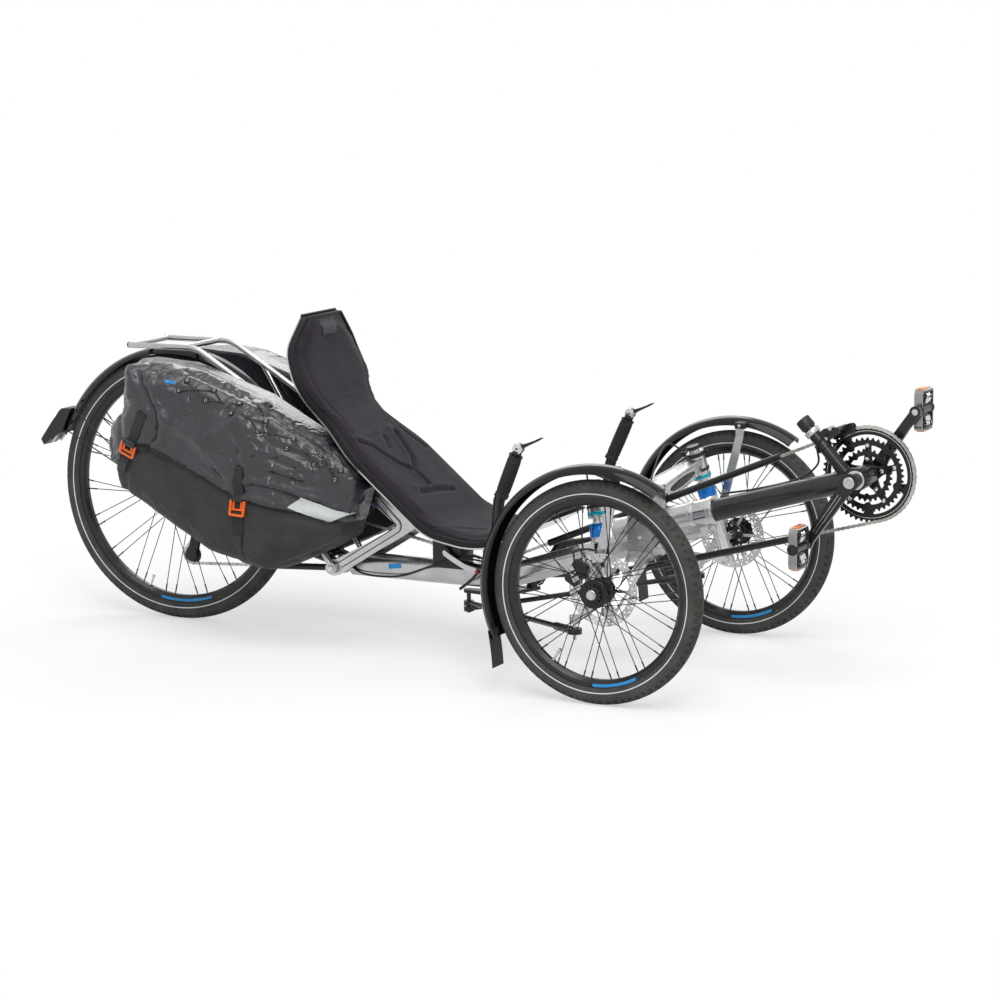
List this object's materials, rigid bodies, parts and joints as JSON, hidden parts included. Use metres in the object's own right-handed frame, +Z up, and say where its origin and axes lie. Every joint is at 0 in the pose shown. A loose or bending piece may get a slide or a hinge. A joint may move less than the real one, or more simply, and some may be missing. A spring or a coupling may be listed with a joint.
{
  "type": "recumbent trike",
  "caption": "Recumbent tricycle with two steered front wheels on struts, reclined padded seat, under-seat handlebar, chain drive to the rear wheel and side bags.",
  "frame": {"origin": "on the floor under the middle of the bounding box, where the wheels stand", "axes": "+X forward along the length, +Y to the rider's left, +Z up"},
  "size_m": [2.2608, 0.857, 0.7751],
  "materials": {
    "frame_silver": "silver grey metallic paint",
    "frame_grey": "satin dark grey paint",
    "black_metal": "black paint",
    "silver_alloy": "forged and brushed",
    "steel": "brushed",
    "spoke_black": "black spokes and hub",
    "rim_black": "gloss black",
    "tyre_rubber": "dark grey tread",
    "fender_black": "gloss black",
    "black_plastic": "matt black",
    "tube_plastic": "black guide tube",
    "grip_rubber": "ribbed",
    "seat_fabric": "charcoal mesh cloth",
    "bag_fabric": "charcoal coated cloth",
    "orange_plastic": "orange buckle",
    "lamp_red": "red lens in a black case"
  },
  "bodies": {
    "frame": {"main_frame": "frame_silver", "boom": "frame_grey", "derailleur_post": "black_metal", "front_derailleur": "black_metal", "strut_towers": "silver_alloy", "lower_arms": "silver_alloy", "chain": "steel", "chain_tubes": "tube_plastic", "chain_idler": "black_plastic", "rear_derailleur": "steel", "seat_shell": "silver_alloy", "seat_pad": "seat_fabric", "seat_brackets": "silver_alloy", "seat_clamp": "black_metal", "swingarm": "frame_grey", "rear_shock": "black_metal", "rack": "black_metal", "rear_fender": "fender_black", "rear_light": "lamp_red", "pannier_left": "bag_fabric", "pannier_right": "bag_fabric", "pannier_buckles": "orange_plastic"},
    "steering_bar": {"handlebar": "black_metal", "grips": "grip_rubber", "bar_end_controls": "silver_alloy"},
    "rod_right": {"tie_rod_right": "black_metal"},
    "rod_left": {"tie_rod_left": "black_metal"},
    "rear_wheel": {"rear_tyre": "tyre_rubber", "rear_rim": "rim_black", "rear_hub": "spoke_black", "cassette": "steel"},
    "crank": {"crank_arms": "black_metal", "chainrings": "black_metal"},
    "left_pedal": {"pedal_left": "black_plastic"},
    "right_pedal": {"pedal_right": "black_plastic"},
    "carrier_left": {"knuckle_left": "silver_alloy", "strut_left": "steel", "brake_caliper_left": "black_metal", "front_fender_left": "fender_black"},
    "front_wheel_left": {"front_tyre_left": "tyre_rubber", "front_rim_left": "rim_black", "front_hub_left": "spoke_black", "brake_disc_left": "steel"},
    "carrier_right": {"knuckle_right": "silver_alloy", "strut_right": "steel", "brake_caliper_right": "black_metal", "front_fender_right": "fender_black"},
    "front_wheel_right": {"front_tyre_right": "tyre_rubber", "front_rim_right": "rim_black", "front_hub_right": "spoke_black", "brake_disc_right": "steel"}
  },
  "joints": [
    {"name": "steer", "type": "hinge", "parent": "frame", "child": "steering_bar", "pos_m": [0.13961, 0, 0.174], "axis": [0, 0, 1], "range_deg": [-30, 30]},
    {"name": "rod_right_swing", "type": "hinge", "parent": "steering_bar", "child": "rod_right", "pos_m": [0.05461, 0, 0.105], "axis": [0, 0, 1], "range_deg": [-30, 30]},
    {"name": "kingpin_right", "type": "hinge", "parent": "frame", "child": "carrier_right", "pos_m": [0.55761, -0.322, 0.245], "axis": [-0.2195, 0.2195, 0.9506], "range_deg": [-30, 30]},
    {"name": "front_wheel_right_spin", "type": "hinge", "parent": "carrier_right", "child": "front_wheel_right", "pos_m": [0.56961, -0.39, 0.245], "axis": [0, 1, 0], "continuous": true},
    {"name": "rod_left_swing", "type": "hinge", "parent": "steering_bar", "child": "rod_left", "pos_m": [0.05461, 0, 0.091], "axis": [0, 0, 1], "range_deg": [-30, 30]},
    {"name": "kingpin_left", "type": "hinge", "parent": "frame", "child": "carrier_left", "pos_m": [0.55761, 0.322, 0.245], "axis": [-0.2195, -0.2195, 0.9506], "range_deg": [-30, 30]},
    {"name": "front_wheel_left_spin", "type": "hinge", "parent": "carrier_left", "child": "front_wheel_left", "pos_m": [0.56961, 0.39, 0.245], "axis": [0, 1, 0], "continuous": true},
    {"name": "rear_wheel_spin", "type": "hinge", "parent": "frame", "child": "rear_wheel", "pos_m": [-0.74038, 0, 0.328], "axis": [0, 1, 0], "continuous": true},
    {"name": "crank_spin", "type": "hinge", "parent": "frame", "child": "crank", "pos_m": [1.02062, 0, 0.464], "axis": [0, 1, 0], "continuous": true},
    {"name": "left_pedal_spin", "type": "hinge", "parent": "crank", "child": "left_pedal", "pos_m": [1.1169, 0.1305, 0.6041], "axis": [0, 1, 0], "continuous": true},
    {"name": "right_pedal_spin", "type": "hinge", "parent": "crank", "child": "right_pedal", "pos_m": [0.92433, -0.1225, 0.3239], "axis": [0, 1, 0], "continuous": true}
  ],
  "couplings": [
    {"joint": "rod_right_swing", "follows": "steer", "ratio": -1},
    {"joint": "kingpin_right", "follows": "steer", "ratio": 1},
    {"joint": "rod_left_swing", "follows": "steer", "ratio": -1},
    {"joint": "kingpin_left", "follows": "steer", "ratio": 1}
  ]
}
